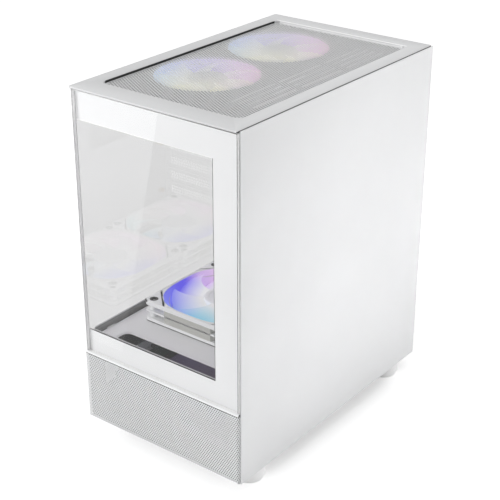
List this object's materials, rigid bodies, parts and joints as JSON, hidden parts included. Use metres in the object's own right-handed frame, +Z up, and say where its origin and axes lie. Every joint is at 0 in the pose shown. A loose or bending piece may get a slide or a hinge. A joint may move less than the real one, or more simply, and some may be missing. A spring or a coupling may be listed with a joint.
{
  "type": "computer tower case",
  "caption": "White computer tower with a glass front and side that meet at a corner, mesh below and on top, lit fans and round feet.",
  "frame": {"origin": "on the floor, at the middle of the outer box", "axes": "+Z up, the glass front faces -Y, the left glass faces -X, the solid side panel faces +X"},
  "size_m": [0.21, 0.345, 0.397],
  "materials": {
    "white_steel": "satin",
    "white_mesh": "satin",
    "white_plastic": "satin",
    "clear_glass": "polished",
    "frosted_blade": "satin",
    "bare_steel": "satin",
    "black_steel": "satin",
    "brass": "satin",
    "dark_plastic": "matte",
    "pale_rubber": "matte",
    "circuit_board": "satin"
  },
  "bodies": {
    "tower": {"base_pan": "white_steel", "rear_wall": "white_steel", "top_plate": "white_steel", "front_frame": "white_steel", "motherboard_tray": "white_steel", "supply_shroud": "white_steel", "lower_left_panel": "white_steel", "drive_cage": "black_steel", "ssd_plate": "white_steel", "fan_hub": "dark_plastic", "top_bezel": "white_plastic", "slot_cover_1": "white_steel", "slot_cover_2": "white_steel", "slot_cover_3": "white_steel", "slot_cover_4": "white_steel", "slot_clamp": "white_steel", "foot_front_left": "pale_rubber", "foot_front_right": "pale_rubber", "foot_rear_left": "pale_rubber", "foot_rear_right": "pale_rubber", "supply_pad_front": "pale_rubber", "supply_pad_rear": "pale_rubber", "standoff_1": "brass", "standoff_2": "brass", "standoff_3": "brass", "standoff_4": "brass", "standoff_5": "brass", "standoff_6": "brass", "standoff_7": "brass", "standoff_8": "brass", "top_fan_front_frame": "white_plastic", "top_fan_rear_frame": "white_plastic", "shroud_fan_front_frame": "white_plastic", "shroud_fan_rear_frame": "white_plastic", "rear_fan_frame": "white_plastic", "strip_bezel": "white_plastic", "connector_board": "circuit_board", "usb_a_port_1": "bare_steel", "usb_a_port_2": "bare_steel", "usb_c_port": "bare_steel", "audio_jack": "dark_plastic"},
    "front_panel": {"front_glass": "clear_glass", "front_carrier": "white_plastic", "front_mesh": "white_mesh"},
    "left_side": {"left_glass": "clear_glass", "left_glass_frame": "white_steel"},
    "right_side": {"right_panel": "white_steel"},
    "top_filter": {"top_filter": "white_mesh"},
    "dust_filter": {"dust_filter": "dark_plastic"},
    "power_button": {"power_button": "white_plastic"},
    "reset_button": {"reset_button": "white_plastic"},
    "left_thumbscrew_1": {"left_thumbscrew_1": "white_steel"},
    "left_thumbscrew_2": {"left_thumbscrew_2": "white_steel"},
    "right_thumbscrew_1": {"right_thumbscrew_1": "white_steel"},
    "right_thumbscrew_2": {"right_thumbscrew_2": "white_steel"},
    "top_fan_front_rotor": {"top_fan_front_rotor": "frosted_blade"},
    "top_fan_rear_rotor": {"top_fan_rear_rotor": "frosted_blade"},
    "shroud_fan_front_rotor": {"shroud_fan_front_rotor": "frosted_blade"},
    "shroud_fan_rear_rotor": {"shroud_fan_rear_rotor": "frosted_blade"},
    "rear_fan_rotor": {"rear_fan_rotor": "frosted_blade"}
  },
  "joints": [
    {"name": "front_panel_pull", "type": "slide", "parent": "tower", "child": "front_panel", "axis": [0, -1, 0], "range_m": [0, 0.08]},
    {"name": "left_side_slide", "type": "slide", "parent": "tower", "child": "left_side", "axis": [0, 1, 0], "range_m": [0, 0.345]},
    {"name": "right_side_slide", "type": "slide", "parent": "tower", "child": "right_side", "axis": [0, 1, 0], "range_m": [0, 0.345]},
    {"name": "top_filter_lift", "type": "slide", "parent": "tower", "child": "top_filter", "axis": [0, 0, 1], "range_m": [0, 0.05]},
    {"name": "dust_filter_slide", "type": "slide", "parent": "tower", "child": "dust_filter", "axis": [0, 1, 0], "range_m": [0, 0.165]},
    {"name": "power_press", "type": "slide", "parent": "tower", "child": "power_button", "axis": [1, 0, 0], "range_m": [0, 0.0015], "stiffness_N_per_m": 1000},
    {"name": "reset_press", "type": "slide", "parent": "tower", "child": "reset_button", "axis": [1, 0, 0], "range_m": [0, 0.001], "stiffness_N_per_m": 1000},
    {"name": "left_thumbscrew_1_turn", "type": "hinge", "parent": "left_side", "child": "left_thumbscrew_1", "pos_m": [-0.0905, 0.1645, 0.125], "axis": [0, 1, 0], "continuous": true},
    {"name": "left_thumbscrew_2_turn", "type": "hinge", "parent": "left_side", "child": "left_thumbscrew_2", "pos_m": [-0.0905, 0.1645, 0.3725], "axis": [0, 1, 0], "continuous": true},
    {"name": "right_thumbscrew_1_turn", "type": "hinge", "parent": "right_side", "child": "right_thumbscrew_1", "pos_m": [0.0942, 0.1645, 0.059], "axis": [0, 1, 0], "continuous": true},
    {"name": "right_thumbscrew_2_turn", "type": "hinge", "parent": "right_side", "child": "right_thumbscrew_2", "pos_m": [0.0942, 0.1645, 0.357], "axis": [0, 1, 0], "continuous": true},
    {"name": "top_fan_front_spin", "type": "hinge", "parent": "tower", "child": "top_fan_front_rotor", "pos_m": [-0.03, -0.0515, 0.3791], "axis": [0, 0, 1], "continuous": true},
    {"name": "top_fan_rear_spin", "type": "hinge", "parent": "tower", "child": "top_fan_rear_rotor", "pos_m": [-0.03, 0.069, 0.3791], "axis": [0, 0, 1], "continuous": true},
    {"name": "shroud_fan_front_spin", "type": "hinge", "parent": "tower", "child": "shroud_fan_front_rotor", "pos_m": [-0.018, -0.046, 0.1318], "axis": [0, 0, 1], "continuous": true},
    {"name": "shroud_fan_rear_spin", "type": "hinge", "parent": "tower", "child": "shroud_fan_rear_rotor", "pos_m": [-0.018, 0.0745, 0.1318], "axis": [0, 0, 1], "continuous": true},
    {"name": "rear_fan_spin", "type": "hinge", "parent": "tower", "child": "rear_fan_rotor", "pos_m": [-0.03395, 0.1498, 0.3], "axis": [0, 1, 0], "continuous": true}
  ]
}
